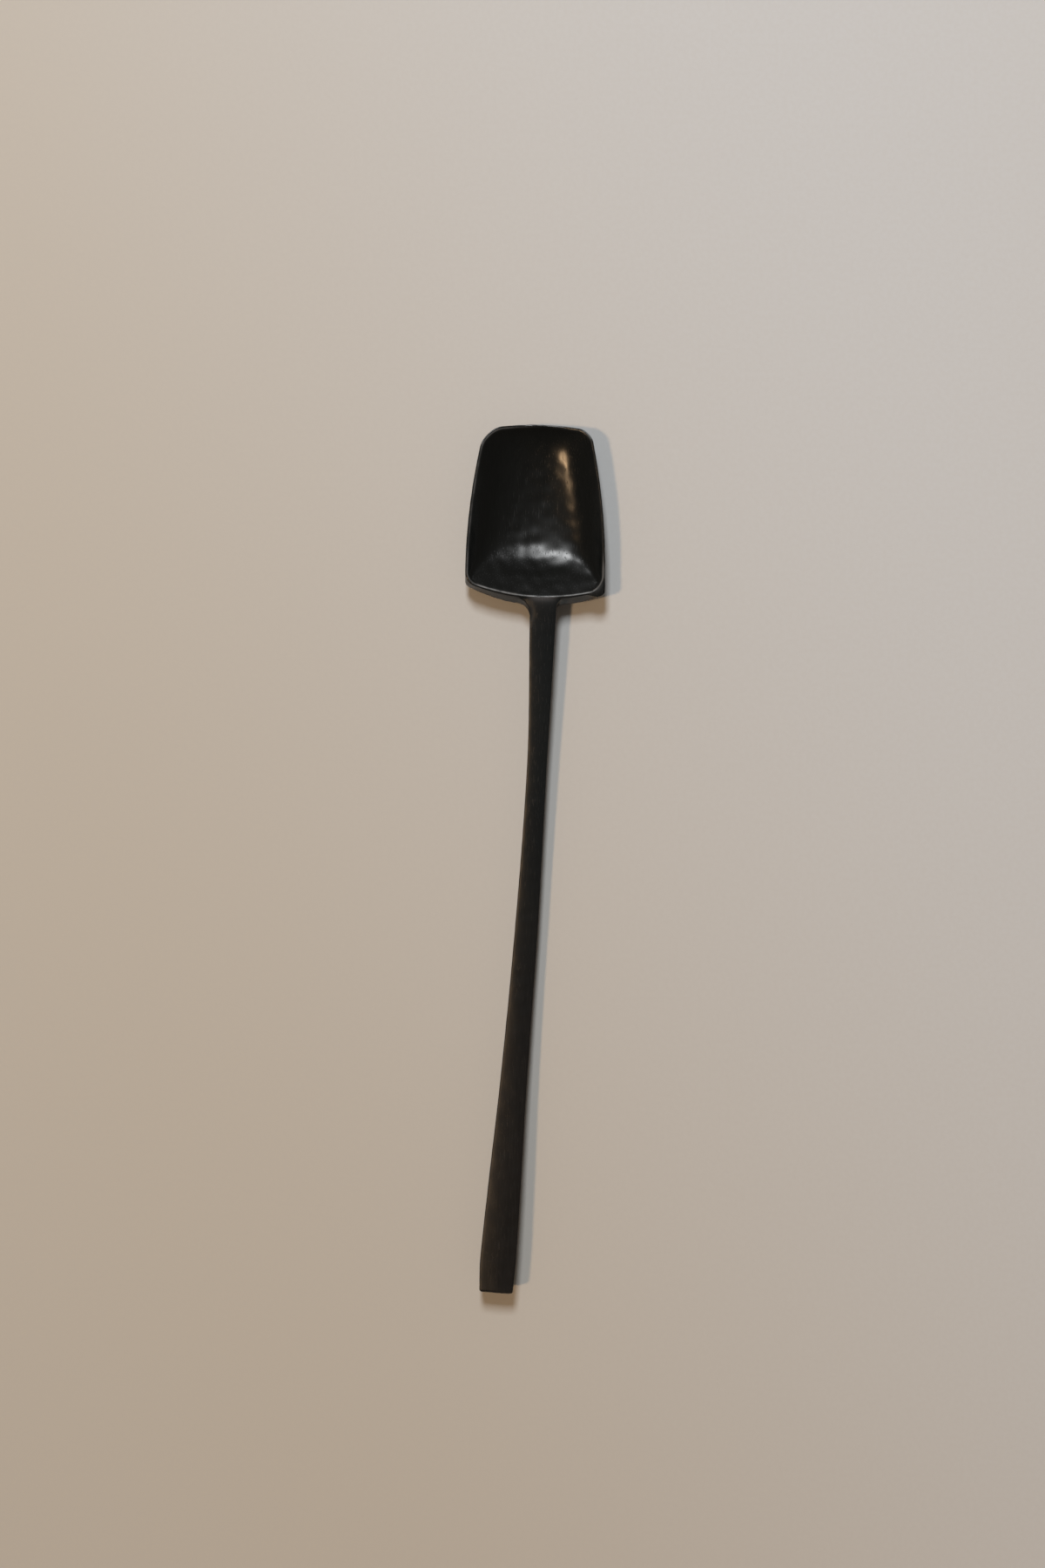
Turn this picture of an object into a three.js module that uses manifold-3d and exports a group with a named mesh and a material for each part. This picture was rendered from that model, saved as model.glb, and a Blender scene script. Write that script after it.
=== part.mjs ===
// A carved wooden spoon, lying as it would on a table: a square-tipped bowl with a short stub of neck,
// and a slim waisted handle whose tenon is glued into the neck.
// Millimetres, +Z up, +Y from the handle towards the bowl's tip. While the pieces are made, y = 0 is the
// back of the heel, x = 0 is the bowl's axis and z = 0 is the table.

import * as THREE from 'three';
import { mergeVertices } from 'three/addons/utils/BufferGeometryUtils.js';
import Module from 'manifold-3d';

// Bowl, seen from above
const bowlLength = 41.7;
const heelWidth = 32.3;
const tipWidth = 24.2;
const widestAt = 6.5; // the sides run straight up to here and then draw in towards the tip
const tipArcRadius = 58;
const heelArcRadius = 39;
const heelArcOffset = 2.0; // the heel's arc is centred to the right of the axis, so its corners are uneven
const tipCornerLeft = 4.0;
const tipCornerRight = 2.6;
const heelCorner = 0.8;
const bowlTurn = THREE.MathUtils.degToRad(1.0); // the whole bowl is turned clockwise on its heel

// Bowl, seen from the side
const rimHeight = 7.6;
const rimLand = 0.5; // width of the rim's edge
const cornerLand = 2.2; // how much wider it is in the right corner of the heel
const cornerLandReach = 4; // how far from that corner it is back to its plain width
const deepestAt = 18.6; // the hollow is laid out round this point of the axis
const lipDip = 2.0; // the middle of the tip lies this far below the rim
const edgeThickness = 1.3; // at the tip and along the sides
const heelFoot = 4.2; // height at which the back of the heel stands out furthest
const heelDraft = 1.95; // how far it stands out from the rim there
const heelFlatten = 0.2; // share by which the rim's arc is flatter than the heel's
const rimCornerLeft = 2.0;
const rimCornerRight = 3.2;
const restLength = 16; // flat under the bowl
const restWidth = 11;

// Hollow: a dished floor, sides that sweep up, a gentle lift towards the tip, and at the heel a ramp
// that bends up out of the floor and meets a shallower facet below the rim
const hollowDepth = 5.7;
const dish = 0.33; // share of the depth that the floor loses towards the sides
const sideSweepHeel = 5.5; // the higher the power, the later the sides sweep up
const sideSweepTip = 2.8;
const facetSlope = 0.465;
const facetWidth = 6.3; // in the middle of the heel; it narrows to nothing at the sides
const facetBlend = 0.06; // softness of the crease between the facet and the ramp
const rampSlope = 0.68;
const rampAt = 9.0; // from the rim to the middle of the ramp's bend
const rampBow = 2.0; // how much nearer to the rim it bends at the sides
const rampBend = 4.4; // softness of the bend
const cornerBlend = 0.2; // softness of the creases between the ramp and the sides
const cornerWall = 2.6; // slope down from the rim in the corners of the heel, so that the rim is level there
const tipLift = 0.46; // share of the climb to the tip that is gentle
const gentleSweep = 2.2;
const tipSweep = 10;

// Neck and glued joint
const neckLength = 3.6; // shoulder to the back of the heel
const neckSide = 1.9; // the neck stands to the right of the bowl's axis
const neckFilletLeft = 2.8;
const neckFilletRight = 1.4;
const neckBite = 0.4; // how far the neck runs into the heel, less than the rim's edge
const neckStep = 0.1; // the neck meets the rim this far below it
const tenonLength = 5.8;
const tenonWidth = 3.0;
const tenonThickness = 2.2;
const tenonRoot = 2.8; // how far the tenon runs back inside the handle
const glueLine = 0.2;

// Handle: distances are measured from its shoulder
const handleLength = 155.0;
const waistAt = 32;
const middleAt = 74; // where the handle sags to the table
const shankAt = 106;
const swellAt = 146;
const neckWidth = 6.0;
const waistWidth = 4.65;
const middleWidth = 5.4;
const shankWidth = 6.25;
const swellWidth = 8.3;
const buttWidth = 7.7;
const neckThickness = 4.6;
const middleThickness = 5.3;
const buttThickness = 4.5;
const neckLift = 2.5; // height of the underside at the shoulder
const buttLift = 3.1; // and at the butt
const waistSide = 0.65; // how far the middle of the handle lies to the right of the bowl's axis
const middleSide = -2.1;
const swellSide = -8.3;
const buttSide = -8.9;
const buttRounding = 0.7;
const buttSlant = 0.55; // the butt's left corner is cut shorter by this much
const topCrown = 0.12; // slope of the crowned top at its edges
const underCrown = 0.3; // and of the underside
const restPare = 0.12; // pared off the underside where the handle rests

// Fineness of the facets
const pointsPerEdge = 24;
const hollowRings = 14;
const bellyRings = 6;
const handleRings = 44;
const handlePoints = 24;
const neckRings = 8;
const roundingSteps = 3;
const halvings = 40; // steps in which a ray closes in on an edge
const sectionSquareness = 24; // 2 is an ellipse, and higher is squarer

const blackWood = { color: 0x121211, roughness: 0.3, metalness: 0 };
const wornBlackWood = { color: 0x1a1715, roughness: 0.38, metalness: 0 };

const wasm = await Module();
wasm.setup();

// A smooth curve through [place, value] pairs, read at any place between the first and the last
function smoothThrough(pairs) {
  const slopeBetween = (a, b) => (pairs[b][1] - pairs[a][1]) / (pairs[b][0] - pairs[a][0]);
  const last = pairs.length - 1;
  const slopes = pairs.map((_, i) => slopeBetween(Math.max(i - 1, 0), Math.min(i + 1, last)));
  return (place) => {
    let i = 0;
    while (i < last - 1 && place > pairs[i + 1][0]) i += 1;
    const span = pairs[i + 1][0] - pairs[i][0];
    const t = THREE.MathUtils.clamp((place - pairs[i][0]) / span, 0, 1);
    const rise = pairs[i + 1][1] - pairs[i][1];
    const bendIn = slopes[i] * span - rise;
    const bendOut = rise - slopes[i + 1] * span;
    return pairs[i][1] + rise * t + t * (1 - t) * (bendIn * (1 - t) + bendOut * t);
  };
}

// Skins closed rings of equal length into one closed body, with a fan over the first and the last ring
function skin(rings) {
  const count = rings[0].length;
  const index = [];
  const middleOf = (ring) => ring.reduce((sum, p) => sum.add(p), new THREE.Vector3()).divideScalar(count);
  const points = [...rings.flat(), middleOf(rings[0]), middleOf(rings.at(-1))];
  const firstMiddle = points.length - 2;
  const lastMiddle = points.length - 1;
  const lastRing = (rings.length - 1) * count;
  for (let i = 0; i < count; i += 1) {
    const next = (i + 1) % count;
    index.push(firstMiddle, i, next);
    index.push(lastMiddle, lastRing + next, lastRing + i);
    for (let ring = 0; ring < lastRing; ring += count) {
      index.push(ring + i, ring + count + i, ring + count + next);
      index.push(ring + i, ring + count + next, ring + next);
    }
  }
  return new THREE.BufferGeometry().setFromPoints(points).setIndex(index);
}

function toSolid(geometry) {
  const bare = geometry.clone();
  bare.deleteAttribute('normal');
  bare.deleteAttribute('uv');
  const merged = mergeVertices(bare);
  const vertProperties = new Float32Array(merged.attributes.position.array);
  const triVerts = new Uint32Array(merged.index.array);
  return new wasm.Manifold(new wasm.Mesh({ numProp: 3, vertProperties, triVerts }));
}

function toGeometry(solid) {
  const mesh = solid.getMesh();
  const geometry = new THREE.BufferGeometry();
  geometry.setAttribute('position', new THREE.BufferAttribute(mesh.vertProperties, 3));
  geometry.setIndex(new THREE.BufferAttribute(mesh.triVerts, 1));
  geometry.computeVertexNormals();
  return geometry;
}

function box(min, max) {
  const size = max.clone().sub(min);
  const middle = min.clone().add(max).multiplyScalar(0.5);
  return new THREE.BoxGeometry(size.x, size.y, size.z).translate(middle.x, middle.y, middle.z);
}

// Room left between two edges that meet in a corner, rounded to a radius
function roundedRoom(a, b, radius) {
  if (a >= radius || b >= radius) return Math.min(a, b);
  return radius - Math.hypot(radius - a, radius - b);
}

function halfWidthAt(y) {
  const drawIn = Math.max(0, (y - widestAt) / (bowlLength - widestAt));
  return heelWidth / 2 - ((heelWidth - tipWidth) / 2) * drawIn ** 2;
}

function tipAt(x) {
  return bowlLength - tipArcRadius + Math.sqrt(tipArcRadius ** 2 - x ** 2);
}

function heelAt(x) {
  return heelArcRadius - Math.sqrt(heelArcRadius ** 2 - (x - heelArcOffset) ** 2);
}

function rimHeelAt(x) {
  return heelDraft + (1 - heelFlatten) * heelAt(x);
}

// Room from a point to the bowl's outer edge or to its rim, which is set in from it; negative outside
const outerEdge = { inset: 0, heelLine: heelAt, leftRadius: heelCorner, rightRadius: heelCorner };
const rimEdge = {
  inset: rimLand,
  heelLine: rimHeelAt,
  leftRadius: rimCornerLeft,
  rightRadius: rimCornerRight,
};

function roomInside(x, y, edge) {
  const left = halfWidthAt(y) + x - edge.inset;
  const right = halfWidthAt(y) - x - edge.inset;
  const tip = tipAt(x) - y - edge.inset;
  const heel = y - edge.heelLine(x);
  return Math.min(
    roundedRoom(left, tip, tipCornerLeft),
    roundedRoom(right, tip, tipCornerRight),
    roundedRoom(left, heel, edge.leftRadius),
    roundedRoom(right, heel, edge.rightRadius),
  );
}

// Where a ray from the deepest point of the bowl meets an edge
function reach(angle, edge) {
  let inside = 0;
  let outside = bowlLength + heelWidth;
  for (let halving = 0; halving < halvings; halving += 1) {
    const middle = (inside + outside) / 2;
    const room = roomInside(middle * Math.cos(angle), deepestAt + middle * Math.sin(angle), edge);
    if (room > 0) inside = middle;
    else outside = middle;
  }
  return inside;
}

// Rays spread evenly between the bowl's four corners, anticlockwise from the corner of the heel on the left
function rayAngles() {
  const toCorner = (x, y) => (Math.atan2(y - deepestAt, x) + 2 * Math.PI) % (2 * Math.PI);
  const halfHeel = heelWidth / 2;
  const halfTip = tipWidth / 2;
  const corners = [
    toCorner(-halfHeel, heelAt(-halfHeel)),
    toCorner(halfHeel, heelAt(halfHeel)),
    toCorner(halfTip, tipAt(halfTip)) + 2 * Math.PI,
    toCorner(-halfTip, tipAt(-halfTip)) + 2 * Math.PI,
  ];
  corners.push(corners[0] + 2 * Math.PI);
  const angles = [];
  for (let edge = 0; edge + 1 < corners.length; edge += 1) {
    for (let i = 0; i < pointsPerEdge; i += 1) {
      angles.push(THREE.MathUtils.lerp(corners[edge], corners[edge + 1], i / pointsPerEdge));
    }
  }
  return angles;
}

// The lower of two values, with the crease between them softened
function smoothMin(a, b, blend) {
  return Math.min(a, b) - (blend / 4) * Math.max(0, 1 - Math.abs(a - b) / blend) ** 2;
}

// Depth that the heel leaves the hollow: down the facet from the rim, then down the ramp to the floor
function heelDepth(x, y, dished) {
  const distance = Math.max(y - rimHeelAt(x), 0);
  const sideways = (x / (heelWidth / 2)) ** 2;
  const shortOfBend = rampAt - rampBow * sideways - distance;
  const climb = (rampSlope * (shortOfBend + Math.hypot(shortOfBend, rampBend))) / 2;
  const alongFacet = Math.min(distance, facetWidth * Math.max(0, 1 - sideways));
  const facet = (facetSlope * alongFacet) / dished;
  return -smoothMin(-facet, climb - hollowDepth, facetBlend);
}

// Room from a point to the rim's sides and heel, with the corners between them rounded
function heelRoom(x, y) {
  const left = halfWidthAt(y) + x - rimLand;
  const right = halfWidthAt(y) - x - rimLand;
  const heel = y - rimHeelAt(x);
  return Math.min(roundedRoom(left, heel, rimCornerLeft), roundedRoom(right, heel, rimCornerRight));
}

// Height of the hollow's surface
function hollowHeight(x, y) {
  const across = Math.min(1, Math.abs(x) / (halfWidthAt(y) - rimLand));
  const dished = 1 - dish * across ** 2;
  const beside = 1 - across ** THREE.MathUtils.lerp(sideSweepHeel, sideSweepTip, y / bowlLength);
  const before = heelDepth(x, y, dished) / hollowDepth;
  const towardsTip = THREE.MathUtils.clamp((y - deepestAt) / (tipAt(x) - rimLand - deepestAt), 0, 1);
  const lift = tipLift * towardsTip ** gentleSweep + (1 - tipLift) * towardsTip ** tipSweep;
  const lipRise = 1 - lipDip / hollowDepth;
  const inCorner = (cornerWall * heelRoom(x, y)) / hollowDepth;
  const depth = Math.max(Math.min(smoothMin(beside, before, cornerBlend), inCorner), 0);
  return rimHeight - hollowDepth * depth * dished * (1 - lipRise * lift);
}

// Closed shell of the bowl: rings out over the hollow, across the rim, down the wall and in under the belly
function bowlShell() {
  const rays = rayAngles().map((angle) => ({
    way: new THREE.Vector2(Math.cos(angle), Math.sin(angle)),
    rim: reach(angle, rimEdge),
    outer: reach(angle, outerEdge),
  }));
  const onRay = (ray, distance, height) =>
    new THREE.Vector3(ray.way.x * distance, deepestAt + ray.way.y * distance, height);
  const atRim = (ray) => hollowHeight(ray.way.x * ray.rim, deepestAt + ray.way.y * ray.rim);
  const footOf = (ray) => {
    const edgeUnderside = atRim(ray) - edgeThickness;
    const tipward = THREE.MathUtils.smoothstep(deepestAt + ray.way.y * ray.outer, 0, deepestAt);
    return THREE.MathUtils.lerp(heelFoot, edgeUnderside, tipward);
  };
  const landEnd = (ray) => {
    const end = onRay(ray, ray.outer, 0);
    const fromCorner = Math.hypot(end.x - heelWidth / 2, end.y - heelAt(heelWidth / 2));
    const wider = cornerLand * (1 - THREE.MathUtils.smoothstep(fromCorner, 0, cornerLandReach));
    return Math.min(ray.rim + rimLand + wider, ray.outer);
  };
  const flatReach = (ray) => 1 / Math.hypot(ray.way.x / (restWidth / 2), ray.way.y / (restLength / 2));

  const rings = [];
  for (let i = 1; i <= hollowRings; i += 1) {
    const share = i / hollowRings;
    rings.push(rays.map((ray) => {
      const p = onRay(ray, ray.rim * share, 0);
      return p.setZ(hollowHeight(p.x, p.y));
    }));
  }
  rings.push(rays.map((ray) => onRay(ray, landEnd(ray), atRim(ray))));
  for (let i = 0; i <= bellyRings; i += 1) {
    const share = i / bellyRings;
    rings.push(rays.map((ray) => {
      const distance = THREE.MathUtils.lerp(ray.outer, flatReach(ray), share);
      return onRay(ray, distance, footOf(ray) * (1 - share) ** 2);
    }));
  }
  return skin(rings);
}

// A squarish closed section with crowned faces, standing across the handle
function section(side, y, under, width, thickness) {
  const power = (value) => Math.abs(value) ** sectionSquareness;
  const points = [];
  for (let i = 0; i < handlePoints; i += 1) {
    const angle = (-2 * Math.PI * i) / handlePoints;
    const size = (power(Math.cos(angle)) + power(Math.sin(angle))) ** (-1 / sectionSquareness);
    const across = Math.cos(angle) * size;
    const up = Math.sin(angle) * size;
    const crown = ((up > 0 ? topCrown : underCrown) * width * across ** 2) / 4;
    const z = under + thickness / 2 + (thickness / 2 - crown) * up;
    points.push(new THREE.Vector3(side + (width / 2) * across, y, z));
  }
  return points;
}

// How far the neck's end leans in from the heel's furthest line, along the wall or, lower, into the belly
function heelLean(z) {
  if (z < heelFoot) return (1 - z / heelFoot) * (deepestAt - restLength / 2);
  return ((heelDraft - rimLand) * (z - heelFoot)) / (rimHeight - heelFoot);
}

// How far a fillet stands out from the side of the neck
function flareAt(y, fillet) {
  const past = THREE.MathUtils.clamp(y + fillet, 0, fillet);
  return fillet - Math.sqrt(fillet ** 2 - past ** 2);
}

// Stub of neck that flares into the heel with a fillet on each side, and follows the heel's shape there
function neckStub() {
  const start = heelAt(neckSide) + neckBite;
  const rings = [];
  for (let i = 0; i <= neckRings; i += 1) {
    const share = i / neckRings;
    const y = THREE.MathUtils.lerp(start, -neckLength, share);
    const left = flareAt(y, neckFilletLeft);
    const right = flareAt(y, neckFilletRight);
    const side = neckSide + (right - left) / 2;
    const top = THREE.MathUtils.lerp(rimHeight - neckStep, neckLift + neckThickness, share);
    const ring = section(side, y, neckLift, neckWidth + left + right, top - neckLift);
    for (const p of ring) {
      p.y += (1 - share) * (heelAt(p.x) - heelAt(neckSide) + heelLean(p.z));
    }
    rings.push(ring);
  }
  return skin(rings);
}

// Tenon, or the mortise that holds it with the glue line all round
function tenonBlock(clearance) {
  const halfWidth = tenonWidth / 2 + clearance;
  const halfThickness = tenonThickness / 2 + clearance;
  const middle = neckLift + neckThickness / 2;
  const end = tenonLength - neckLength;
  return box(
    new THREE.Vector3(neckSide - halfWidth, -neckLength - tenonRoot, middle - halfThickness),
    new THREE.Vector3(neckSide + halfWidth, end + clearance, middle + halfThickness),
  );
}

function bowl() {
  const body = toSolid(bowlShell().rotateZ(-bowlTurn));
  const mortised = body.add(toSolid(neckStub())).subtract(toSolid(tenonBlock(glueLine)));
  return new THREE.Mesh(toGeometry(mortised), new THREE.MeshStandardMaterial(blackWood));
}

// Handle from its shoulder to its rounded butt, with its tenon, and pared flat underneath where it rests
function handle() {
  const side = smoothThrough([
    [0, neckSide],
    [waistAt, waistSide],
    [middleAt, middleSide],
    [swellAt, swellSide],
    [handleLength, buttSide],
  ]);
  const width = smoothThrough([
    [0, neckWidth],
    [waistAt, waistWidth],
    [middleAt, middleWidth],
    [shankAt, shankWidth],
    [swellAt, swellWidth],
    [handleLength, buttWidth],
  ]);
  const thickness = smoothThrough([
    [0, neckThickness],
    [middleAt, middleThickness],
    [handleLength, buttThickness],
  ]);
  const under = smoothThrough([
    [0, neckLift],
    [middleAt, -restPare],
    [handleLength, buttLift],
  ]);
  const shoulder = -neckLength - glueLine;
  const ringAt = (place, inset) => {
    const ringWidth = width(place) - 2 * inset;
    const ringThickness = thickness(place) - 2 * inset;
    const ring = section(side(place), shoulder - place, under(place) + inset, ringWidth, ringThickness);
    const nearButt = THREE.MathUtils.smoothstep(place, handleLength - buttWidth, handleLength);
    for (const p of ring) {
      const fromRight = 0.5 - (p.x - side(place)) / buttWidth;
      p.y += buttSlant * nearButt * fromRight;
    }
    return ring;
  };

  const rings = [];
  for (let i = 0; i <= handleRings; i += 1) {
    rings.push(ringAt(((handleLength - buttRounding) * i) / handleRings, 0));
  }
  for (let i = 1; i <= roundingSteps; i += 1) {
    const turn = (i / roundingSteps) * (Math.PI / 2);
    const place = handleLength - buttRounding * (1 - Math.sin(turn));
    rings.push(ringAt(place, buttRounding * (1 - Math.cos(turn))));
  }
  const table = box(
    new THREE.Vector3(-heelWidth, shoulder - handleLength, -middleThickness),
    new THREE.Vector3(heelWidth, shoulder, 0),
  );
  const whole = toSolid(skin(rings)).add(toSolid(tenonBlock(0))).subtract(toSolid(table));
  return new THREE.Mesh(toGeometry(whole), new THREE.MeshStandardMaterial(wornBlackWood));
}

// Both pieces, with the origin at the middle of the spoon's footprint on the table
const pieces = { bowl: bowl(), handle: handle() };
const spoon = new THREE.Group();
for (const [name, piece] of Object.entries(pieces)) {
  piece.name = name;
  spoon.add(piece);
}
const footprint = new THREE.Box3().setFromObject(spoon).getCenter(new THREE.Vector3());
spoon.position.set(-footprint.x, -footprint.y, 0);

export default spoon;
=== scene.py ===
# Looks of the carved wooden spoon: a bowl with its stub of neck, and a handle glued into it, both of
# black-stained wood, on a pale table under two soft lamps, seen straight from above.
# Shapes are worked out in millimetres, with y = 0 at the back of the heel, x = 0 on the bowl's axis and
# z = 0 on the table, and are then set in the frame, in metres.

import math

import bmesh
import bpy
import numpy as np
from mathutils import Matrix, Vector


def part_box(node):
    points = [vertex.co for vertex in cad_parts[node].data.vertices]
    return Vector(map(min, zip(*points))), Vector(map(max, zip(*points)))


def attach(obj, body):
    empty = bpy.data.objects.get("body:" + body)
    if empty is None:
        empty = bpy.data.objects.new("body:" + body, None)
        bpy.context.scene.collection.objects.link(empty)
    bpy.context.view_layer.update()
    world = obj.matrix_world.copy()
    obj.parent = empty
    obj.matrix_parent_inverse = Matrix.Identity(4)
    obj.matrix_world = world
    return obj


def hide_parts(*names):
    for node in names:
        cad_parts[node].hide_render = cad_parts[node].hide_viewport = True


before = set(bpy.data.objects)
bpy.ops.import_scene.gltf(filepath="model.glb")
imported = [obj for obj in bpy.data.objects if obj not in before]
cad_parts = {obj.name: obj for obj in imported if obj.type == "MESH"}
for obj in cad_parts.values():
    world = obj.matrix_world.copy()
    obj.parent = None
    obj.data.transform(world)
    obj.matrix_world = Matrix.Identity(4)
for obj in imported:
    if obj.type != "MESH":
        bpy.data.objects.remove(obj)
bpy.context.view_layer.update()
bowl_low, bowl_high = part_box("bowl")
handle_low, handle_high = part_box("handle")
mm = 0.001

# Neck and glued joint
neck_length = 3.6
neck_side = 1.9
neck_width = 6.0
neck_thickness = 4.6
neck_lift = 2.5
neck_fillet_left = 2.8
neck_fillet_right = 1.4
neck_bite = 0.4
neck_overlap = 0.004  # the neck's top covers the rim by this little, so that no groove is left
tenon_length = 5.8
tenon_width = 3.0
tenon_thickness = 2.2
tenon_root = 2.8
glue_line = 0.2
seam = 0.01  # what is left of the glue line on each side where the two pieces meet flush

# Bowl, with the sizes that the frame gives
bowl_length = (bowl_high.y - bowl_low.y) / mm - neck_length
heel_width = (bowl_high.x - bowl_low.x) / mm
rim_height = bowl_high.z / mm
tip_width = 24.2
widest_at = 6.5
tip_arc_radius = 58
heel_arc_radius = 39
heel_arc_offset = 2.0
tip_corner_left = 4.0
tip_corner_right = 2.6
heel_corner = 0.8
rim_corner_left = 2.0
rim_corner_right = 3.2
bowl_turn = math.radians(1.0)
rim_land = 0.5
corner_land = 2.2
corner_land_reach = 4.0
hollow_depth = 5.7
deepest_at = 18.6
lip_dip = 2.0
edge_thickness = 1.3
heel_foot = 4.2
heel_draft = 1.95
heel_flatten = 0.2
rest_length = 16
rest_width = 11
side_sweep_heel = 5.5
side_sweep_tip = 2.8
dish = 0.33
facet_slope = 0.465
facet_width = 6.3
facet_blend = 0.06
ramp_slope = 0.68
ramp_at = 9.0
ramp_bow = 2.0
ramp_bend = 4.4
corner_blend = 0.2
corner_wall = 2.6
tip_lift = 0.46
gentle_sweep = 2.2
tip_sweep = 10

# Handle: distances are measured from its shoulder
handle_length = (handle_high.y - handle_low.y) / mm - tenon_length - glue_line
waist_at = 32
middle_at = 74
shank_at = 106
swell_at = 146
waist_width = 4.65
middle_width = 5.4
shank_width = 6.25
swell_width = 8.3
butt_width = 7.7
middle_thickness = 5.3
butt_thickness = 4.5
butt_lift = 3.1
waist_side = 0.65
middle_side = -2.1
swell_side = -8.3
butt_side = -8.9
butt_rounding = 0.7
butt_slant = 0.55
rest_pare = 0.12
section_squareness = 24
edge_crowding = 2.2
top_crown = 0.12  # slope of the crowned faces at their edges
under_crown = 0.3

# Rounded edges, and the marks that the tools left
edge_round = 0.24
soften_turns = 16
soften_share = 0.5
soften_reach = 2.2  # how far behind the heel the neck's crease is softened
sharp_angle = math.radians(50)
ripple_waves = 24
ripple_period = 4.2
ripple_depth = 0.009
ripple_stretch = 0.8
stroke_period = 5.0
stroke_depth = 0.012
stroke_stretch = 5.0
dimple_period = 2.4
dimple_stretch = 1.3
dimple_seed = 28
bowl_dimple = 0.010
handle_dimple = 0.002
bowl_seed = 11
handle_seed = 23
unmarked_height = 0.5  # marks fade out below this height
unmarked_joint = 1.5  # and nearer than this to the joint

# Rim's line of real rubbing with a painted highlight where the edge catches the lamps, with its brightest
# spots as x, y, size and strength; these spots are painted glints, and the one by the tip's right corner is
# a painted reflection of the warm lamp
rim_rub_glint_width = 0.15
rim_rub_glint_fade = (-0.6, -0.1)  # heights against the hollow's surface between which the rubbed line and its painted highlight set in
heel_rub_glint_fade = (2, 12)
rim_rub_glint_all = 0.1
rim_rub_glint_left = 0.65
rim_rub_glint_heel = 0.6
rim_rub_glint_lost = 0.7  # share of the rubbed line and its painted highlight that is missing in front of the neck
rubbed_and_glinting_spots = [
    (15.0, 5.4, 2.2, 0.9),
    (15.6, 9.0, 2.2, 0.6),
    (-5.5, 3.4, 1.5, 0.6),
    (10.5, 39.5, 2.5, 0.3),
]

# Wear of the neck and handle
neck_front_power = 4
bloom_near = 1.0
bloom_far = 4.0
bloom_near_share = 0.85
dull_width = 0.8
dull_length = 1.9
right_edge_wear = 0.7
edge_wear_power = 6
edge_wear_low = 0.6
butt_wear = 0.6
butt_wear_length = 1.2

# Wood: the first three colours come as dark and light streaks, and fades are measured from the heel
black_wood = ((0.0032, 0.0042, 0.0044, 1), (0.0042, 0.0052, 0.0054, 1))
grey_wood = ((0.0050, 0.0070, 0.0082, 1), (0.0060, 0.0080, 0.0092, 1))
brown_wood = ((0.0054, 0.0052, 0.0052, 1), (0.0088, 0.0084, 0.0082, 1))
bloom_colour = (0.058, 0.060, 0.066, 1)
# bluish white of the rim's line: partly rubbed wood, partly a painted highlight of the window light
rubbed_and_lit_rim_colour = (0.125, 0.13, 0.135, 1)
worn_handle = (0.024, 0.0195, 0.016, 1)
bowl_fade = (-4, 2)
neck_fade = (3, 1)
butt_fade = (-30, -130)
grain_scale = (2600, 120, 2600)
cloud_scale = (90, 40, 90)
pore_scale = (5200, 420, 5200)
pore_detail = 2.0
pore_range = (0.60, 0.70)
rub_scale = (700, 260, 700)
rub_range = (0.36, 0.62, 0.4, 1.0)
grain_share = 0.6
streak_range = (0.35, 0.65)
cloud_range = (0.3, 0.7)
roughness_range = (0.228, 0.248)
pore_dulling = 0.12
bowl_dulling = -0.01
neck_dulling = 0.02
butt_dulling = 0.08
wear_dulling = 0.15
fillet_dulling = 0.6
wood_specular = 0.25
grain_height = 0.35
wood_bump = 0.35
wood_bump_depth = 0.01

# Table and room, in metres
table_radius = 6.0
table_sides = 96
# the table's colour carries a painted fall of the lamps' light: darker and warmer on the left, lighter and
# cooler on the right
painted_light_left = (0.498, 0.475, 0.430, 1)
painted_light_right = (0.542, 0.574, 0.608, 1)
painted_light_slant = 0.4
painted_light_fade = (-0.13, 0.16)
speckle_colour = (0.45, 0.44, 0.43, 1)
speckle_scale = (900, 900, 900)
speckle_detail = 4.0
speckle_range = (0.3, 0.7, 0.0, 0.10)
speckle_bump = 0.15
speckle_bump_depth = 0.1  # in millimetres
table_roughness = 0.85
table_specular = 0.15
room_colour = (0.142, 0.115, 0.092, 1)
wall_colour = (0.46, 0.43, 0.40, 1)
wall_fade = (0.0, 0.2)  # how steeply up, as a sine, the pale wall starts to darken and has gone
far_fade = (0.25, 1.2)  # how far from the spoon the table starts to fade into the wall and has gone

# Fineness of the meshes
points_per_edge = 120
hollow_rings = 64
round_steps = 5
wall_steps = 6
belly_rings = 36
section_points = 96
neck_rings = 48
handle_step = 0.4
halvings = 40

# Camera over the table, in millimetres
camera_x = -2.9
camera_y = 17.3
camera_height = 609
camera_lens = 60

root = "root"
shoulder = -neck_length - glue_line
joint = -neck_length - glue_line / 2


# Curves and closed skins

def smooth_min(a, b, blend):
    return np.minimum(a, b) - blend / 4 * np.maximum(0, 1 - np.abs(a - b) / blend) ** 2


def smooth_step(value, low, high):
    t = np.clip((value - low) / (high - low), 0, 1)
    return t * t * (3 - 2 * t)


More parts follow.
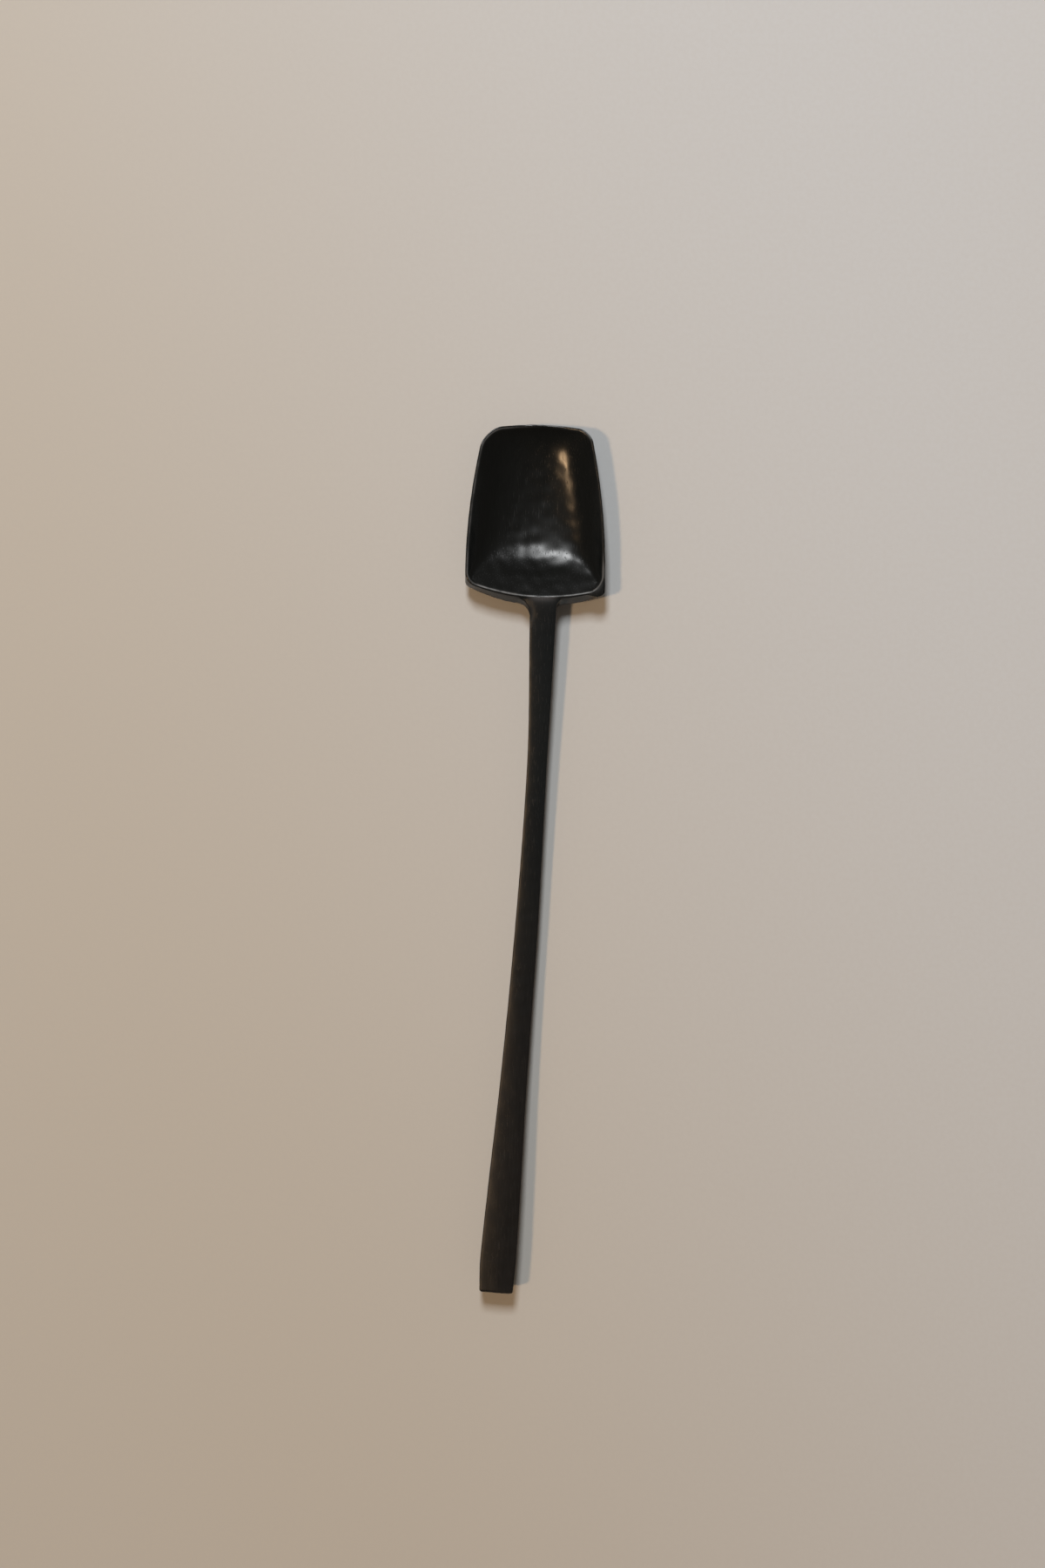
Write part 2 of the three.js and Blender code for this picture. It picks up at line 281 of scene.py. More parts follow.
def smooth_through(pairs):
    """A smooth curve through [place, value] pairs, carried straight on past both ends."""
    places = np.array([p for p, _ in pairs], float)
    values = np.array([v for _, v in pairs], float)
    last = len(pairs) - 1
    before = np.maximum(np.arange(last + 1) - 1, 0)
    after = np.minimum(np.arange(last + 1) + 1, last)
    slopes = (values[after] - values[before]) / (places[after] - places[before])

    def curve(place):
        place = np.asarray(place, float)
        i = np.clip(np.searchsorted(places, place) - 1, 0, last - 1)
        span = places[i + 1] - places[i]
        t = np.clip((place - places[i]) / span, 0, 1)
        rise = values[i + 1] - values[i]
        bend_in = slopes[i] * span - rise
        bend_out = rise - slopes[i + 1] * span
        inside = values[i] + rise * t + t * (1 - t) * (bend_in * (1 - t) + bend_out * t)
        past = place - np.clip(place, places[0], places[-1])
        return inside + np.where(past < 0, slopes[0], slopes[-1]) * past

    return curve


def skin(rings):
    """Points and faces of one closed body round rings of equal length, with a fan over both ends."""
    count, size = rings.shape[:2]
    grid = np.arange(count * size).reshape(count, size)
    here, there = grid[:-1], grid[1:]
    quads = np.stack([here, there, np.roll(there, -1, 1), np.roll(here, -1, 1)], -1).reshape(-1, 4)
    first, last = count * size, count * size + 1
    faces = quads.tolist()
    faces += [[first, a, b] for a, b in zip(grid[0], np.roll(grid[0], -1))]
    faces += [[last, b, a] for a, b in zip(grid[-1], np.roll(grid[-1], -1))]
    points = np.vstack([rings.reshape(-1, 3), rings[0].mean(0), rings[-1].mean(0)])
    return points, faces


def bend(start, corner, end):
    """Steps of a rounded corner between two points, each a (distance, height) pair of arrays."""
    steps = []
    for t in np.linspace(0, 1, round_steps + 1):
        shares = ((1 - t) ** 2, 2 * t * (1 - t), t ** 2)
        steps.append([np.dot(shares, [a, b, c]) for a, b, c in zip(start, corner, end)])
    return steps


def between(start, end, share):
    return [a + (b - a) * share for a, b in zip(start, end)]


# Bowl

def half_width_at(y):
    """Half the bowl's width, which draws in from its widest place to the tip."""
    draw_in = np.maximum(0, (y - widest_at) / (bowl_length - widest_at))
    return heel_width / 2 - (heel_width - tip_width) / 2 * draw_in ** 2


def tip_at(x):
    return bowl_length - tip_arc_radius + np.sqrt(tip_arc_radius ** 2 - x ** 2)


def heel_at(x):
    return heel_arc_radius - np.sqrt(heel_arc_radius ** 2 - (x - heel_arc_offset) ** 2)


def rounded_room(a, b, radius):
    """Room to two edges that meet in a rounded corner."""
    corner = radius - np.hypot(radius - a, radius - b)
    return np.where((a >= radius) | (b >= radius), np.minimum(a, b), corner)


def rim_heel_at(x):
    """The rim's inner line along the heel."""
    return heel_draft + (1 - heel_flatten) * heel_at(x)


def room_inside(x, y, inset, heel_line, left_radius, right_radius):
    """Room from a point to the bowl's edge, negative outside."""
    left = half_width_at(y) + x - inset
    right = half_width_at(y) - x - inset
    tip = tip_at(x) - y - inset
    heel = y - heel_line(x)
    rooms = [
        rounded_room(left, tip, tip_corner_left),
        rounded_room(right, tip, tip_corner_right),
        rounded_room(left, heel, left_radius),
        rounded_room(right, heel, right_radius),
    ]
    return np.min(rooms, axis=0)


outer_edge = (0, heel_at, heel_corner, heel_corner)
rim_edge = (rim_land, rim_heel_at, rim_corner_left, rim_corner_right)


def reach(way_x, way_y, edge):
    """How far rays from the deepest point run before they meet an edge."""
    inside = np.zeros(len(way_x))
    outside = np.full(len(way_x), heel_width)
    for _ in range(halvings):
        middle = (inside + outside) / 2
        free = room_inside(middle * way_x, deepest_at + middle * way_y, *edge) > 0
        inside = np.where(free, middle, inside)
        outside = np.where(free, outside, middle)
    return inside


def ray_angles():
    """Rays spread evenly between the bowl's four corners, anticlockwise from the left of the heel."""
    half_heel, half_tip = heel_width / 2, tip_width / 2
    corners = [
        math.atan2(heel_at(-half_heel) - deepest_at, -half_heel),
        math.atan2(heel_at(half_heel) - deepest_at, half_heel),
        math.atan2(tip_at(half_tip) - deepest_at, half_tip),
        math.atan2(tip_at(-half_tip) - deepest_at, -half_tip),
    ]
    corners.append(corners[0] + 2 * math.pi)
    steps = np.arange(points_per_edge) / points_per_edge
    return np.concatenate([a + (b - a) * steps for a, b in zip(corners, corners[1:])])


def heel_room(x, y):
    """Room from a point to the rim's sides and heel, with the corners between them rounded."""
    left = half_width_at(y) + x - rim_land
    right = half_width_at(y) - x - rim_land
    heel = y - rim_heel_at(x)
    return np.minimum(rounded_room(left, heel, rim_corner_left), rounded_room(right, heel, rim_corner_right))


def hollow_height(x, y):
    """Height of the hollow's surface: dished across, swept up at its sides, heel and tip."""
    across = np.minimum(1, np.abs(x) / (half_width_at(y) - rim_land))
    dished = 1 - dish * across ** 2
    beside = 1 - across ** (side_sweep_heel + (side_sweep_tip - side_sweep_heel) * y / bowl_length)
    before = heel_depth(x, y, dished) / hollow_depth
    towards_tip = np.clip((y - deepest_at) / (tip_at(x) - rim_land - deepest_at), 0, 1)
    lift = tip_lift * towards_tip ** gentle_sweep + (1 - tip_lift) * towards_tip ** tip_sweep
    lip_rise = 1 - lip_dip / hollow_depth
    in_corner = corner_wall * heel_room(x, y) / hollow_depth
    depth = np.maximum(np.minimum(smooth_min(beside, before, corner_blend), in_corner), 0)
    return rim_height - hollow_depth * depth * dished * (1 - lip_rise * lift)


def heel_depth(x, y, dished):
    """Depth that the heel leaves the hollow: down a facet from the rim, then down a ramp to the floor."""
    distance = np.maximum(y - rim_heel_at(x), 0)
    sideways = (x / (heel_width / 2)) ** 2
    short_of_bend = ramp_at - ramp_bow * sideways - distance
    climb = ramp_slope * (short_of_bend + np.hypot(short_of_bend, ramp_bend)) / 2
    along_facet = np.minimum(distance, facet_width * np.maximum(0, 1 - sideways))
    facet = facet_slope * along_facet / dished
    return -smooth_min(-facet, climb - hollow_depth, facet_blend)


def bowl_rings():
    """Rings out over the hollow, round the rim, down the wall and in under the belly."""
    angles = ray_angles()
    way_x, way_y = np.cos(angles), np.sin(angles)
    rim = reach(way_x, way_y, rim_edge)
    outer = reach(way_x, way_y, outer_edge)
    flat = 1 / np.hypot(way_x / (rest_width / 2), way_y / (rest_length / 2))
    half_heel = heel_width / 2
    from_corner = np.hypot(way_x * outer - half_heel, deepest_at + way_y * outer - heel_at(half_heel))
    wider = corner_land * (1 - smooth_step(from_corner, 0, corner_land_reach))
    land_end = np.minimum(rim + rim_land + wider, outer)
    land_start = np.minimum((rim + land_end) / 2, rim + edge_round)
    land_stop = np.maximum((rim + land_end) / 2, land_end - edge_round)

    def on_hollow(distance):
        return [distance, hollow_height(way_x * distance, deepest_at + way_y * distance)]

    rim_z = on_hollow(rim)[1]
    tipward = smooth_step(deepest_at + way_y * outer, 0, deepest_at)
    foot_z = heel_foot + (rim_z - edge_thickness - heel_foot) * tipward

    def on_belly(share):
        return [outer + (flat - outer) * share, foot_z * (1 - share) ** 2]

    wall_top = [land_end, rim_z]
    wall_foot = [outer, foot_z]
    wall_share = edge_round / np.hypot(outer - land_end, rim_z - foot_z)
    wall_start = between(wall_top, wall_foot, wall_share)
    wall_end = between(wall_top, wall_foot, 1 - wall_share)
    first_share = 1 / belly_rings

    profile = [on_hollow((rim - edge_round) * k / hollow_rings) for k in range(1, hollow_rings)]
    profile += bend(on_hollow(rim - edge_round), [rim, rim_z], [land_start, rim_z])
    profile += bend([land_stop, rim_z], wall_top, wall_start)
    profile += [between(wall_start, wall_end, k / wall_steps) for k in range(1, wall_steps)]
    profile += bend(wall_end, wall_foot, on_belly(first_share))
    profile += [on_belly(k / belly_rings) for k in range(2, belly_rings + 1)]
    rings = [np.stack([way_x * d, deepest_at + way_y * d, z], 1) for d, z in profile]
    return turn_bowl(np.array(rings))


def turn_bowl(points, way=-1):
    """Turns points clockwise with the bowl, or back with way = 1."""
    c, s = math.cos(bowl_turn), way * math.sin(bowl_turn)
    x, y = points[..., 0], points[..., 1]
    return np.stack([c * x - s * y, s * x + c * y, points[..., 2]], -1)


# Neck and handle

side_curve = smooth_through([
    [0, neck_side],
    [waist_at, waist_side],
    [middle_at, middle_side],
    [swell_at, swell_side],
    [handle_length, butt_side],
])
width_curve = smooth_through([
    [0, neck_width],
    [waist_at, waist_width],
    [middle_at, middle_width],
    [shank_at, shank_width],
    [swell_at, swell_width],
    [handle_length, butt_width],
])
thickness_curve = smooth_through([
    [0, neck_thickness],
    [middle_at, middle_thickness],
    [handle_length, butt_thickness],
])
under_curve = smooth_through([
    [0, neck_lift],
    [middle_at, -rest_pare],
    [handle_length, butt_lift],
])


def section(side, y, under, width, thickness):
    """A squarish closed section that stands across the handle."""
    quarters = 4 * np.arange(section_points) / section_points
    from_side = 2 * (quarters - np.round(quarters))
    crowded = np.sign(from_side) * (1 - (1 - np.abs(from_side)) ** edge_crowding)
    angles = -math.pi / 2 * (np.round(quarters) + crowded / 2)
    across, up = np.cos(angles), np.sin(angles)
    power = section_squareness
    size = (np.abs(across) ** power + np.abs(up) ** power) ** (-1 / power)
    across, up = across * size, up * size
    crown = np.where(up > 0, top_crown, under_crown) * width / 4 * across ** 2
    return np.stack([
        side + width / 2 * across,
        np.full(section_points, y),
        under + thickness / 2 + (thickness / 2 - crown) * up,
    ], 1)


def heel_lean(z):
    """How far the neck's end leans in from the heel's furthest line, along the wall or into the belly."""
    low = (1 - z / heel_foot) * (deepest_at - rest_length / 2)
    high = (heel_draft - rim_land) * (z - heel_foot) / (rim_height - heel_foot)
    return np.where(z < heel_foot, low, high)


def flare_at(y, fillet):
    """How far a fillet stands out from the side of the neck."""
    past = np.clip(y + fillet, 0, fillet)
    return fillet - math.sqrt(fillet ** 2 - past ** 2)


def neck_rings_from_heel():
    """Rings from inside the heel to the joint, which follow the heel's curve at first."""
    start = heel_at(neck_side) + neck_bite
    rim_top = rim_height + neck_overlap
    rings = []
    for share in np.linspace(0, 1, neck_rings + 1):
        y = start + (joint + seam - start) * share
        left = flare_at(y, neck_fillet_left)
        right = flare_at(y, neck_fillet_right)
        place = shoulder - y
        handle_top = under_curve(place) + thickness_curve(place)
        top = rim_top + (handle_top - rim_top) * smooth_step(share, 0, 1)
        under = under_curve(place)
        side = side_curve(place) + (right - left) / 2
        ring = section(side, y, under, width_curve(place) + left + right, top - under)
        ring[:, 1] += (1 - share) * (heel_at(ring[:, 0]) - heel_at(neck_side) + heel_lean(ring[:, 2]))
        rings.append(ring)
    return np.array(rings)


def handle_rings():
    """Rings from the joint to the rounded butt, which is cut at a slant: its left corner is shorter."""
    def ring_at(place, inset):
        width = width_curve(place) - 2 * inset
        thickness = thickness_curve(place) - 2 * inset
        ring = section(side_curve(place), shoulder - place, under_curve(place) + inset, width, thickness)
        near_butt = smooth_step(place, handle_length - butt_width, handle_length)
        from_right = 0.5 - (ring[:, 0] - side_curve(place)) / butt_width
        ring[:, 1] += butt_slant * near_butt * from_right
        return ring

    start = shoulder - joint + seam
    steps = round(handle_length / handle_step)
    rings = [ring_at(place, 0) for place in np.linspace(start, handle_length - butt_rounding, steps)]
    for k in range(1, round_steps + 1):
        turn = k / round_steps * math.pi / 2
        place = handle_length - butt_rounding * (1 - math.sin(turn))
        rings.append(ring_at(place, butt_rounding * (1 - math.cos(turn))))
    rings = np.array(rings)
    rings[..., 2] = np.maximum(rings[..., 2], 0)
    return rings


def tenon_box(clearance):
    """Corners of the tenon, or of the mortise that holds it."""
    middle = np.array([neck_side, 0, neck_lift + neck_thickness / 2])
    half = np.array([tenon_width / 2 + clearance, 0, tenon_thickness / 2 + clearance])
    low, high = middle - half, middle + half
    low[1] = -neck_length - tenon_root
    high[1] = tenon_length - neck_length + clearance
    return low, high


# Pieces

def shift_into_frame(rings):
    """Shift that sets the bowl's rings in the frame, by its middle and its tip."""
    low, high = rings.reshape(-1, 3).min(0), rings.reshape(-1, 3).max(0)
    middle_x = (bowl_low.x + bowl_high.x) / 2 / mm - (low[0] + high[0]) / 2
    return np.array([middle_x, bowl_high.y / mm - high[1], 0])


def add_object(name, data):
    made = bpy.data.objects.new(name, data)
    bpy.context.scene.collection.objects.link(made)
    return made


def new_piece(name, points, faces):
    """A piece from points in millimetres, set in the frame."""
    mesh = bpy.data.meshes.new(name)
    mesh.from_pydata(((points + shift) * mm).tolist(), [], faces)
    return add_object(name, mesh)


def new_block(name, low, high):
    corners = np.array([[x, y, z] for x in (0, 1) for y in (0, 1) for z in (0, 1)])
    faces = [[0, 1, 3, 2], [4, 6, 7, 5], [0, 4, 5, 1], [2, 3, 7, 6], [0, 2, 6, 4], [1, 5, 7, 3]]
    return new_piece(name, low + corners * (high - low), faces)


def combine(piece, other, operation):
    """Joins other to the piece, or cuts it out, and removes it."""
    cut = piece.modifiers.new("cut", "BOOLEAN")
    cut.operation = operation
    cut.solver = "MANIFOLD"
    cut.object = other
    graph = bpy.context.evaluated_depsgraph_get()
    made = bpy.data.meshes.new_from_object(piece.evaluated_get(graph))
    piece.modifiers.clear()
    piece.data = made
    bpy.data.objects.remove(other)


def points_of(piece):
    """A piece's points in millimetres, measured from the heel."""
    points = np.zeros(len(piece.data.vertices) * 3)
    piece.data.vertices.foreach_get("co", points)
    return points.reshape(-1, 3) / mm - shift


def set_points(piece, points):
    piece.data.vertices.foreach_set("co", ((points + shift) * mm).ravel())
    piece.data.update()


def normals_of(piece):
    normals = np.zeros(len(piece.data.vertices) * 3)
    piece.data.vertex_normals.foreach_get("vector", normals)
    return normals.reshape(-1, 3)


def shade(piece):
    piece.data.shade_smooth()
    piece.data.set_sharp_from_angle(angle=sharp_angle)


def store(piece, name, values):
    attribute = piece.data.attributes.new(name, "FLOAT", "POINT")
    attribute.data.foreach_set("value", values.astype(np.float32))


# Marks of the tools

def soften_neck(piece):
    """Rounds the crease where the neck runs into the heel, below the rim's edge."""
    points = points_of(piece)
    from_heel = points[:, 1] - heel_at(points[:, 0])
    near_side = np.abs(points[:, 0] - neck_side) < neck_width / 2 + neck_fillet_left + rim_land
    near = near_side & (from_heel < heel_draft - rim_land / 2) & (points[:, 2] > neck_lift / 2)
    body = bmesh.new()
    body.from_mesh(piece.data)
    body.verts.ensure_lookup_table()
    for turn in range(soften_turns):
        reach_back = soften_reach * (1 - turn / soften_turns)
        chosen = [body.verts[i] for i in np.flatnonzero(near & (from_heel > -reach_back))]
        bmesh.ops.smooth_vert(
            body, verts=chosen, factor=soften_share, use_axis_x=True, use_axis_y=True, use_axis_z=True
        )
    body.to_mesh(piece.data)
    body.free()


def ripples(points, period, stretch, seed):
    """Smooth seeded unevenness of about 1, drawn out along the spoon by stretch."""
    rng = np.random.default_rng(seed)
    total = np.zeros(len(points))
    for _ in range(ripple_waves):
        way = rng.normal(size=3)
        way /= np.linalg.norm(way)
        way[1] /= stretch
        total += np.sin(points @ way * 2 * math.pi / period + rng.uniform(0, 2 * math.pi))
    return total / math.sqrt(ripple_waves / 2)


def carve(piece, seed, dimple_depth):
    """Leaves the marks of the tools on a piece, except where it lies on the table and at the joint."""
    points = points_of(piece)
    lifted = smooth_step(points[:, 2], 0, unmarked_height)
    off_joint = smooth_step(np.abs(points[:, 1] - joint), 0, unmarked_joint)
    marks = ripple_depth * ripples(points, ripple_period, ripple_stretch, seed)
    marks += stroke_depth * ripples(points, stroke_period, stroke_stretch, seed + 1)
    marks += dimple_depth * ripples(points, dimple_period, dimple_stretch, dimple_seed)
    set_points(piece, points + normals_of(piece) * (marks * lifted * off_joint)[:, None])


# Wear, and the painted highlight along the rim

def over_neck(x):
    """1 in front of the neck, and 0 to both sides of it."""
    return np.exp(-((x - neck_side) / (neck_width / 2)) ** neck_front_power)


def rim_rub_and_glint(points):
    """How bright the rim's edge is painted: a fine line of real rubbing and of painted highlight where the
    edge catches the lamps, strongest at the heel, on the left and in a few painted glints.
    """
    flat = turn_bowl(points, way=1)
    x, y = flat[:, 0], flat[:, 1]
    line = np.exp(-(room_inside(x, y, *rim_edge) / rim_rub_glint_width) ** 2)
    upper_side = smooth_step(points[:, 2] - hollow_height(x, y), *rim_rub_glint_fade)
    heelward = 1 - smooth_step(y, *heel_rub_glint_fade)
    leftward = smooth_step(-x, 0, tip_width / 2)
    wear_and_glint = rim_rub_glint_all + rim_rub_glint_left * leftward + rim_rub_glint_heel * heelward
    wear_and_glint *= 1 - rim_rub_glint_lost * over_neck(x)
    for spot_x, spot_y, size, strength in rubbed_and_glinting_spots:
        wear_and_glint += strength * np.exp(-((x - spot_x) ** 2 + (y - spot_y) ** 2) / size ** 2)
    return np.clip(wear_and_glint * line * upper_side, 0, 1)


def handle_wear(points):
    """How worn the handle is: along its two upper edges and round the butt."""
    from_shoulder = shoulder - points[:, 1]
    across = (points[:, 0] - side_curve(from_shoulder)) / (width_curve(from_shoulder) / 2)
    up = (points[:, 2] - under_curve(from_shoulder)) / (thickness_curve(from_shoulder) / 2) - 1
    edge = np.clip(np.where(across < 0, -across, right_edge_wear * across), 0, 1) ** edge_wear_power
    edge *= np.clip(up + edge_wear_low, 0, 1) * smooth_step(from_shoulder, 0, waist_at)
    butt = smooth_step(from_shoulder, handle_length - butt_wear_length, handle_length)
    return np.clip(edge + butt_wear * butt, 0, 1)


def neck_bloom(points):
    """How greyed the top of the neck is: most where it leaves the rim."""
    flat = turn_bowl(points, way=1)
    x, y = flat[:, 0], flat[:, 1]
    past_rim = rim_heel_at(x) - y
    near = bloom_near_share * np.exp(-(past_rim / bloom_near) ** 2)
    far = (1 - bloom_near_share) * np.exp(-(past_rim / bloom_far) ** 2)
    on_top = (past_rim > 0) & (points[:, 2] > neck_lift + neck_thickness / 2)
    return over_neck(x) * (near + far) * on_top


def fillet_dullness(points):
    """How dull the wood is: most round the left fillet of the neck."""
    beside = (points[:, 0] - neck_side + neck_width / 2) / dull_width
    behind = (points[:, 1] + neck_length / 2) / dull_length
    return np.exp(-beside ** 2 - behind ** 2)


# Materials

class Nodes:
    """Short calls for the nodes of one material or world."""

    def __init__(self, tree):
        self.tree = tree
        tree.nodes.clear()

    def add(self, kind, **settings):
        node = self.tree.nodes.new(kind)
        for name, value in settings.items():
            setattr(node, name, value)
        return node

    def feed(self, socket, value):
        """Links a socket to another one, or sets it to a constant."""
        if isinstance(value, bpy.types.NodeSocket):
            self.tree.links.new(value, socket)
        else:
            socket.default_value = value

    def math(self, operation, a, b):
        node = self.add("ShaderNodeMath", operation=operation)
        self.feed(node.inputs[0], a)
        self.feed(node.inputs[1], b)
        return node.outputs[0]

    def spot(self, space="Object"):
        return self.add("ShaderNodeTexCoord").outputs[space]

    def split(self, vector):
        node = self.add("ShaderNodeSeparateXYZ")
        self.feed(node.inputs[0], vector)
        return node.outputs

    def attribute(self, name):
        return self.add("ShaderNodeAttribute", attribute_name=name).outputs["Fac"]

    def noise(self, scale, detail=3.0):
        """Noise whose features are as long as one over each of scale's numbers, in metres."""
        mapping = self.add("ShaderNodeMapping")
        mapping.inputs["Scale"].default_value = scale
        self.feed(mapping.inputs["Vector"], self.spot())
        node = self.add("ShaderNodeTexNoise")
        node.inputs["Scale"].default_value = 1.0
        node.inputs["Detail"].default_value = detail
        self.feed(node.inputs["Vector"], mapping.outputs[0])
        return node.outputs["Fac"]

    def ramp(self, value, low, high, low_to=0.0, high_to=1.0):
        node = self.add("ShaderNodeMapRange", interpolation_type="SMOOTHSTEP")
        self.feed(node.inputs["Value"], value)
        for name, number in zip(("From Min", "From Max", "To Min", "To Max"), (low, high, low_to, high_to)):
            node.inputs[name].default_value = number
        return node.outputs["Result"]

    def mix(self, share, a, b):
        """A colour between a and b."""
        node = self.add("ShaderNodeMix", data_type="RGBA")
        for name, kind, value in (("Factor", "VALUE", share), ("A", "RGBA", a), ("B", "RGBA", b)):
            self.feed(next(s for s in node.inputs if s.name == name and s.type == kind), value)
        return next(s for s in node.outputs if s.type == "RGBA")

    def bump(self, shader, height, strength, depth):
        """Lets a height tilt the surface, as deep as depth in millimetres."""
        node = self.add("ShaderNodeBump")
        node.inputs["Strength"].default_value = strength
        node.inputs["Distance"].default_value = depth * mm
        self.feed(node.inputs["Height"], height)
        self.feed(shader.inputs["Normal"], node.outputs["Normal"])

    def seen_share(self):
        """1 for what the camera sees, straight, mirrored or through glass, and 0 for other light."""
        path = self.add("ShaderNodeLightPath").outputs
        share = self.math("MAXIMUM", path["Is Camera Ray"], path["Is Glossy Ray"])
        return self.math("MAXIMUM", share, path["Is Transmission Ray"])


def new_material(name):
    material = bpy.data.materials.new(name)
    material.use_nodes = True
    return material, Nodes(material.node_tree)


def wood(name, rub_and_glint_colour):
    """Stained wood: black in the bowl, greyer on the neck and handle, and browner towards the butt."""
    material, n = new_material(name)
    shader = n.add("ShaderNodeBsdfPrincipled")
    n.feed(n.add("ShaderNodeOutputMaterial").inputs["Surface"], shader.outputs["BSDF"])

    along = n.split(n.spot())["Y"]
    to_bowl, to_neck, to_butt = [
        n.ramp(along, heel_y + start * mm, heel_y + end * mm)
        for start, end in (bowl_fade, neck_fade, butt_fade)
    ]
    grain = n.noise(grain_scale)
    cloud = n.noise(cloud_scale)
    pores = n.ramp(n.noise(pore_scale, pore_detail), *pore_range)
    rub = n.ramp(n.noise(rub_scale), *rub_range)
    wear_and_glint = n.attribute("wear_and_glint")

    tone = n.math("ADD", n.math("MULTIPLY", grain, grain_share), n.math("MULTIPLY", cloud, 1 - grain_share))
    streak = n.ramp(tone, *streak_range)
    body = n.mix(to_neck, n.mix(streak, *black_wood), n.mix(streak, *grey_wood))
    body = n.mix(to_butt, body, n.mix(streak, *brown_wood))
    # rubbed colour: real wear on the handle, and along the bowl's rim partly a painted highlight
    body = n.mix(n.math("MULTIPLY", wear_and_glint, rub), body, rub_and_glint_colour)
    body = n.mix(n.attribute("bloom"), body, bloom_colour)
    n.feed(shader.inputs["Base Color"], body)

    roughness = n.ramp(cloud, *cloud_range, *roughness_range)
    for share, dulling in (
        (pores, pore_dulling),
        (to_bowl, bowl_dulling),
        (to_neck, neck_dulling),
        (to_butt, butt_dulling),
        (wear_and_glint, wear_dulling),
        (n.attribute("dull"), fillet_dulling),
    ):
        roughness = n.math("ADD", roughness, n.math("MULTIPLY", share, dulling))
    n.feed(shader.inputs["Roughness"], roughness)
    shader.inputs["Specular IOR Level"].default_value = wood_specular
    height = n.math("SUBTRACT", n.math("MULTIPLY", grain, grain_height), pores)
    n.bump(shader, height, wood_bump, wood_bump_depth)
    return material


def paper(name):
    """Pale paper with a painted fall of light across it, darker and warmer on the left and lighter and
    cooler towards the right and top, that fades into the wall far away.
    """
    material, n = new_material(name)
    shader = n.add("ShaderNodeBsdfPrincipled")
    spot = n.split(n.spot())
    # painted light: the paper darkens and warms towards the left
    painted_light_across = n.math("ADD", spot["X"], n.math("MULTIPLY", spot["Y"], painted_light_slant))
    speckle = n.noise(speckle_scale, speckle_detail)
    base = n.mix(n.ramp(painted_light_across, *painted_light_fade), painted_light_left, painted_light_right)
    base = n.mix(n.ramp(speckle, *speckle_range), base, speckle_colour)
    n.feed(shader.inputs["Base Color"], base)
    shader.inputs["Roughness"].default_value = table_roughness
    shader.inputs["Specular IOR Level"].default_value = table_specular
    n.bump(shader, speckle, speckle_bump, speckle_bump_depth)

    away = n.add("ShaderNodeVectorMath", operation="LENGTH")
    n.feed(away.inputs[0], n.spot())
    far = n.ramp(away.outputs["Value"], *far_fade)
    wall = n.add("ShaderNodeEmission")
    wall.inputs["Color"].default_value = wall_colour
    fade = n.add("ShaderNodeMixShader")
    n.feed(fade.inputs[0], n.math("MULTIPLY", far, n.seen_share()))
    n.feed(fade.inputs[1], shader.outputs["BSDF"])
    n.feed(fade.inputs[2], wall.outputs[0])
    n.feed(n.add("ShaderNodeOutputMaterial").inputs["Surface"], fade.outputs[0])
    return material


# Bowl and handle

bowl_points = bowl_rings()
shift = shift_into_frame(bowl_points)
heel_y = shift[1] * mm

bowl = new_piece("bowl_carved", *skin(bowl_points))
combine(bowl, new_piece("neck", *skin(neck_rings_from_heel())), "UNION")
soften_neck(bowl)
combine(bowl, new_block("mortise", *tenon_box(glue_line)), "DIFFERENCE")
handle = new_piece("handle_carved", *skin(handle_rings()))
combine(handle, new_block("tenon", *tenon_box(0)), "UNION")

carve(bowl, bowl_seed, bowl_dimple)
carve(handle, handle_seed, handle_dimple)
# the bowl's wear attribute also carries the rim's painted highlight and glints
for piece, wear_and_glint in ((bowl, rim_rub_and_glint), (handle, handle_wear)):
    points = points_of(piece)
    store(piece, "wear_and_glint", wear_and_glint(points))
    store(piece, "bloom", neck_bloom(points))
    store(piece, "dull", fillet_dullness(points))

bowl_wood = wood("bowl_wood", rub_and_glint_colour=rubbed_and_lit_rim_colour)
handle_wood = wood("handle_wood", rub_and_glint_colour=worn_handle)
for piece, node, slot, material in (
    (bowl, "bowl", "bowl_wood", bowl_wood),
    (handle, "handle", "handle_wood", handle_wood),
):
    shade(piece)
    piece.data.materials.clear()
    piece.data.materials.append(material)
    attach(piece, root)
    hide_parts(node)


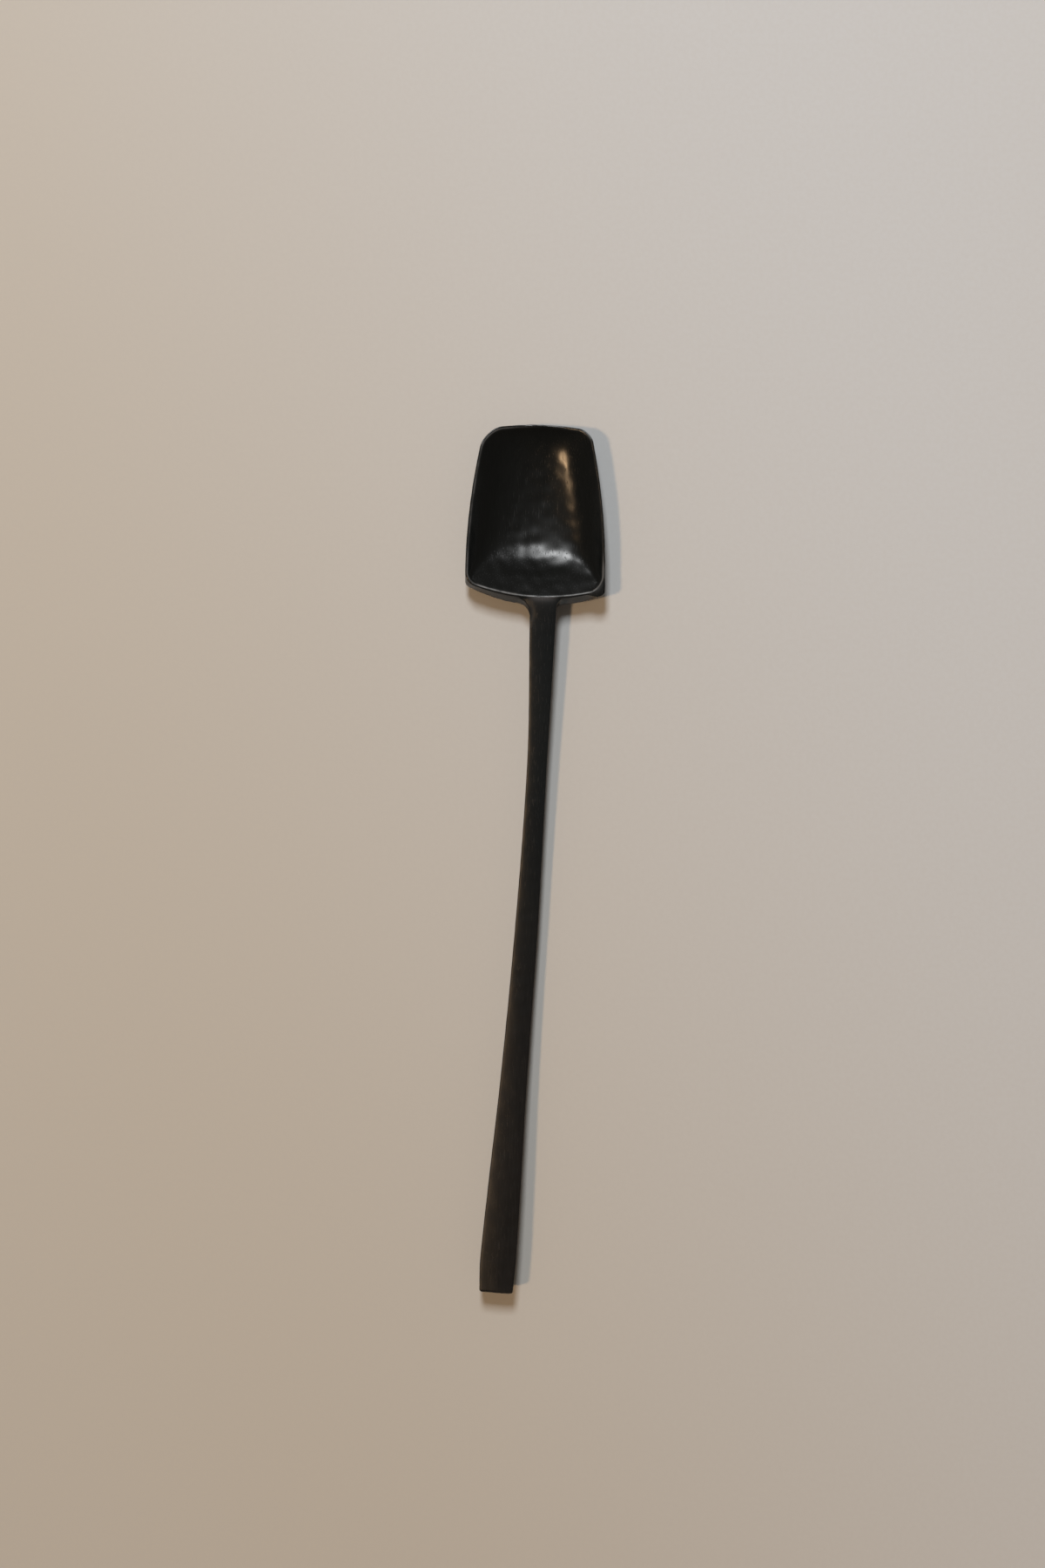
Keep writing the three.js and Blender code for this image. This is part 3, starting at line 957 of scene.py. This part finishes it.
# Table, lamps and camera

def table():
    body = bmesh.new()
    bmesh.ops.create_circle(body, cap_ends=True, segments=table_sides, radius=table_radius)
    mesh = bpy.data.meshes.new("table")
    body.to_mesh(mesh)
    body.free()
    mesh.materials.append(paper("table_paper"))
    top = add_object("table", mesh)


def distant_lamp(name, towards, strength, tint, spread):
    """A small lamp far off in the direction given."""
    light = bpy.data.lights.new(name, "SUN")
    light.energy = strength
    light.color = tint
    light.angle = math.radians(spread)
    holder = add_object(name, light)
    back = (np.array(towards) / np.linalg.norm(towards)).tolist()
    holder.rotation_mode = "QUATERNION"
    holder.rotation_quaternion = Vector(back).to_track_quat("Z", "Y")


def wide_lamp(name, middle, width, depth, power, tint):
    """A broad soft lamp that hangs level over the table."""
    light = bpy.data.lights.new(name, "AREA")
    light.shape = "RECTANGLE"
    light.size = width
    light.size_y = depth
    light.energy = power
    light.color = tint
    holder = add_object(name, light)
    holder.location = middle
    holder.visible_camera = False


def room():
    """Dim, warm light from all round, in which a pale wall is seen along the horizon."""
    world = bpy.data.worlds.new("room")
    bpy.context.scene.world = world
    world.use_nodes = True
    n = Nodes(world.node_tree)
    background = n.add("ShaderNodeBackground")
    upward = n.split(n.spot("Generated"))["Z"]
    wall = n.mix(n.ramp(upward, *wall_fade), wall_colour, room_colour)
    n.feed(background.inputs["Color"], n.mix(n.seen_share(), room_colour, wall))
    n.feed(n.add("ShaderNodeOutputWorld").inputs["Surface"], background.outputs[0])


def camera():
    data = bpy.data.cameras.new("camera")
    data.lens = camera_lens
    holder = add_object("camera", data)
    holder.location = (camera_x * mm, camera_y * mm, camera_height * mm)
    bpy.context.scene.camera = holder


table()
distant_lamp("warm_lamp", towards=(-0.53, -0.16, 1), strength=1.08, tint=(1.0, 0.65, 0.36), spread=5.4)
wide_lamp(
    "window_light", middle=(-0.13, 0.93, 1.4), width=0.31, depth=0.54, power=21.4, tint=(0.97, 0.99, 1.0)
)
room()
camera()
bpy.context.scene.view_settings.view_transform = "Standard"
